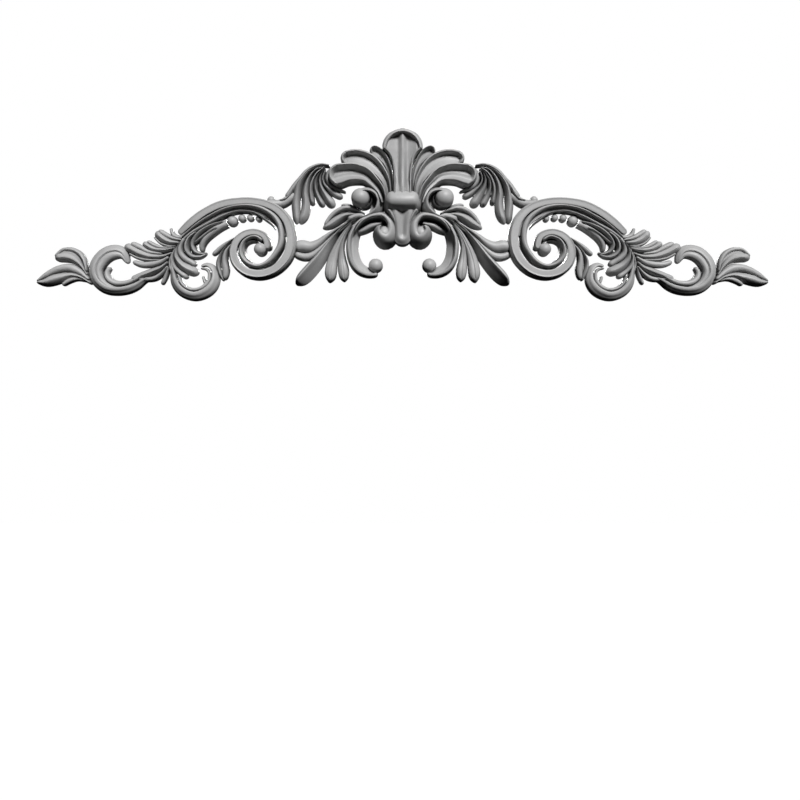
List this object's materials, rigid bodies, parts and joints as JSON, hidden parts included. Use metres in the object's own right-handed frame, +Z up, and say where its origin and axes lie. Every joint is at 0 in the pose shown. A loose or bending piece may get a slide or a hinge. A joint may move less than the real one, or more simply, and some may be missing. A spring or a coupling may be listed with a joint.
{
  "type": "carved scroll-and-shell pediment ornament",
  "caption": "Carved openwork pediment ornament: a scallop shell between volutes, scrolls and acanthus leaves, flat at the back, to be fixed above a door, mirror or cabinet.",
  "frame": {"origin": "on the flat back plane, on the mirror line, behind the drop under the shell", "axes": "+Z up, the carving faces -Y, +Y runs back into the surface it is fixed to, X runs along the width"},
  "size_m": [0.796, 0.035, 0.1828],
  "materials": {
    "carving": "close-grained wood under thin grey primer, satin"
  },
  "bodies": {
    "root": {"scroll_pediment": "carving"}
  },
  "joints": []
}
